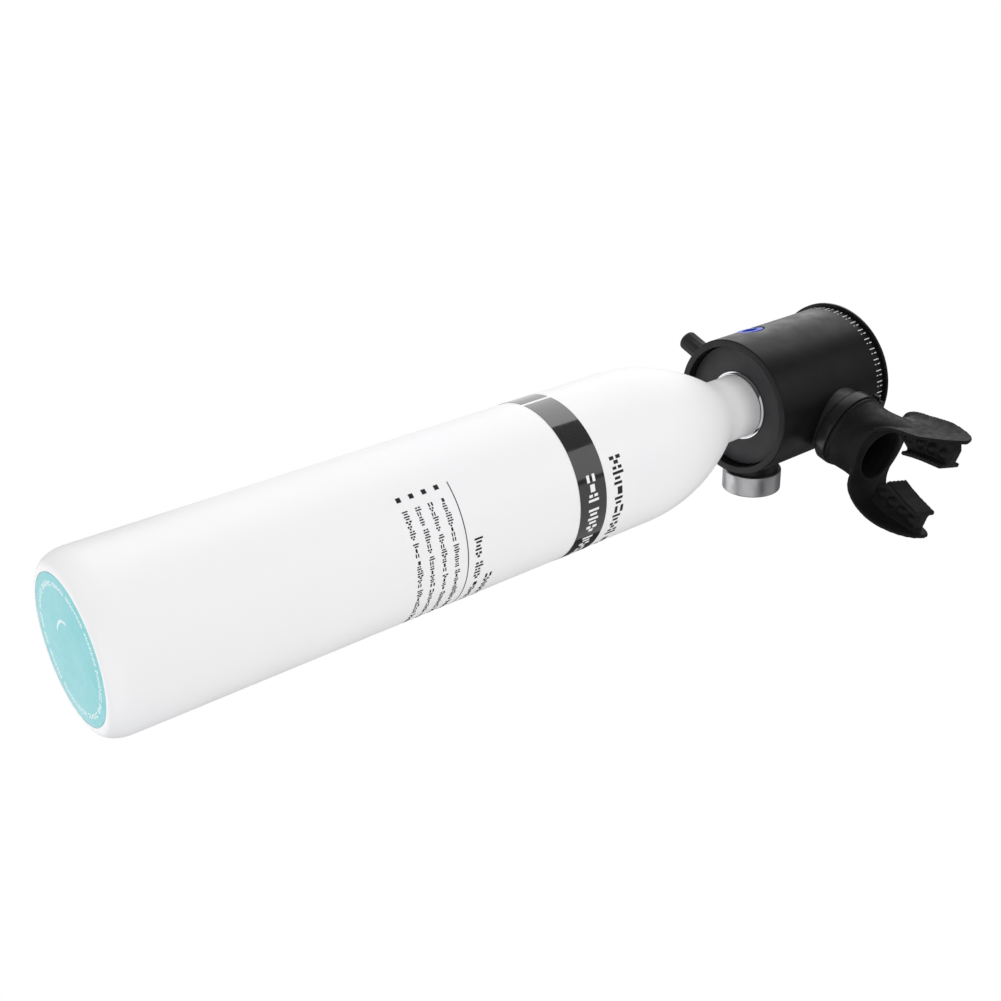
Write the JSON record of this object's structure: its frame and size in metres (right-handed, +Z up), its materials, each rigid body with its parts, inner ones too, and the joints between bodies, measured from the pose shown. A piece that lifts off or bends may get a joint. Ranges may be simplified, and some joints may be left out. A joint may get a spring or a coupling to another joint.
{
  "type": "mini scuba tank",
  "caption": "Slim high-pressure air cylinder with a barrel-shaped regulator head carrying a bite mouthpiece, pressure gauge, fill valve and purge button.",
  "frame": {"origin": "centre of the flat base, on the face it stands on", "axes": "+Z up the cylinder axis to the purge button, -Y out through the mouthpiece, +X to the side of the gauge"},
  "size_m": [0.0717, 0.1281, 0.3458],
  "materials": {
    "white_paint": "smooth semi-gloss white powder coat over aluminium",
    "teal_vinyl": "satin printed vinyl disc",
    "black_vinyl": "high-gloss black vinyl wrap",
    "black_anodised": "fine satin black anodising",
    "black_plastic": "satin moulded black plastic",
    "black_rubber": "matt black rubber",
    "silicone": "soft matt black silicone",
    "cable_tie": "glossy black nylon",
    "chrome": "polished chrome",
    "satin_aluminium": "turned and satin-finished aluminium",
    "brass": "machined brass",
    "steel": "bright stainless steel",
    "blue_anodised": "bright blue anodising",
    "seat_plastic": "off-white nylon",
    "dial_face": "matt white printed dial",
    "needle": "red lacquer",
    "lens": "clear polycarbonate"
  },
  "bodies": {
    "tank": {"cylinder_bottle": "white_paint", "base_label": "teal_vinyl", "wrap_band": "black_vinyl", "neck_o_ring": "black_rubber", "barrel_housing": "black_anodised", "lower_end_cap": "black_anodised", "neck_ring": "chrome", "set_screw": "steel", "top_cap": "black_anodised", "diaphragm_cover": "black_plastic", "purge_spring": "steel", "diaphragm": "silicone", "second_stage_valve_body": "brass", "valve_orifice": "chrome", "poppet_spring": "steel", "valve_end_plug": "brass", "transfer_tube": "brass", "lever_pin": "steel", "first_stage_body": "brass", "first_stage_cap": "brass", "high_pressure_seat": "seat_plastic", "piston_spring": "steel", "fill_valve_body": "steel", "fill_check_spring": "steel", "gauge_boss": "black_anodised", "gauge_case": "satin_aluminium", "gauge_dial": "dial_face", "gauge_lens": "lens", "burst_disc_plug": "blue_anodised", "burst_disc": "steel", "exhaust_seat": "black_plastic", "exhaust_cover": "black_plastic", "mouthpiece_port": "black_plastic", "mouthpiece": "silicone", "mouthpiece_tie": "cable_tie"},
    "purge_button": {"purge_button": "black_rubber"},
    "diaphragm_plate": {"diaphragm_plate": "steel"},
    "demand_lever": {"demand_lever": "steel"},
    "second_stage_poppet": {"second_stage_poppet": "seat_plastic"},
    "first_stage_piston": {"first_stage_piston": "steel", "piston_o_ring": "black_rubber"},
    "fill_check": {"fill_check_poppet": "brass"},
    "dust_cap": {"fill_dust_cap": "black_rubber"},
    "gauge_needle": {"gauge_needle": "needle"},
    "exhaust_flap": {"exhaust_valve": "silicone"}
  },
  "joints": [
    {"name": "purge_press", "type": "slide", "parent": "tank", "child": "purge_button", "axis": [0, 0, -1], "range_m": [0, 0.003], "stiffness_N_per_m": 300, "springref_m": -0.002, "deforming": ["purge_spring"]},
    {"name": "diaphragm_travel", "type": "slide", "parent": "tank", "child": "diaphragm_plate", "axis": [0, 0, -1], "range_m": [0, 0.003]},
    {"name": "lever_swing", "type": "hinge", "parent": "tank", "child": "demand_lever", "pos_m": [-0.012, 0, 0.322], "axis": [0, 1, 0], "range_deg": [0, 12.6]},
    {"name": "poppet_travel", "type": "slide", "parent": "tank", "child": "second_stage_poppet", "axis": [-1, 0, 0], "range_m": [0, 0.00175]},
    {"name": "piston_travel", "type": "slide", "parent": "tank", "child": "first_stage_piston", "axis": [0, 0, -1], "range_m": [0, 0.001], "stiffness_N_per_m": 2000, "springref_m": -0.001, "deforming": ["piston_spring"]},
    {"name": "fill_check_travel", "type": "slide", "parent": "tank", "child": "fill_check", "axis": [0.0872, -0.9962, 0], "range_m": [0, 0.001], "stiffness_N_per_m": 200, "springref_m": -0.001},
    {"name": "dust_cap_pull", "type": "slide", "parent": "tank", "child": "dust_cap", "axis": [-0.0872, 0.9962, 0], "range_m": [0, 0.015]},
    {"name": "needle_swing", "type": "hinge", "parent": "tank", "child": "gauge_needle", "pos_m": [0.03373, -0.00935, 0.296], "axis": [-0.9636, 0.2672, 0], "range_deg": [0, 270], "stiffness_Nm_per_rad": 0.0001},
    {"name": "exhaust_lift", "type": "slide", "parent": "tank", "child": "exhaust_flap", "axis": [0.7071, 0.7071, 0], "range_m": [0, 0.0012], "stiffness_N_per_m": 60, "springref_m": -0.0003}
  ],
  "couplings": [
    {"joint": "diaphragm_travel", "follows": "purge_press", "ratio": 1},
    {"joint": "lever_swing", "follows": "purge_press", "rad_per_m": 72.14},
    {"joint": "poppet_travel", "follows": "purge_press", "ratio": 0.5667}
  ]
}
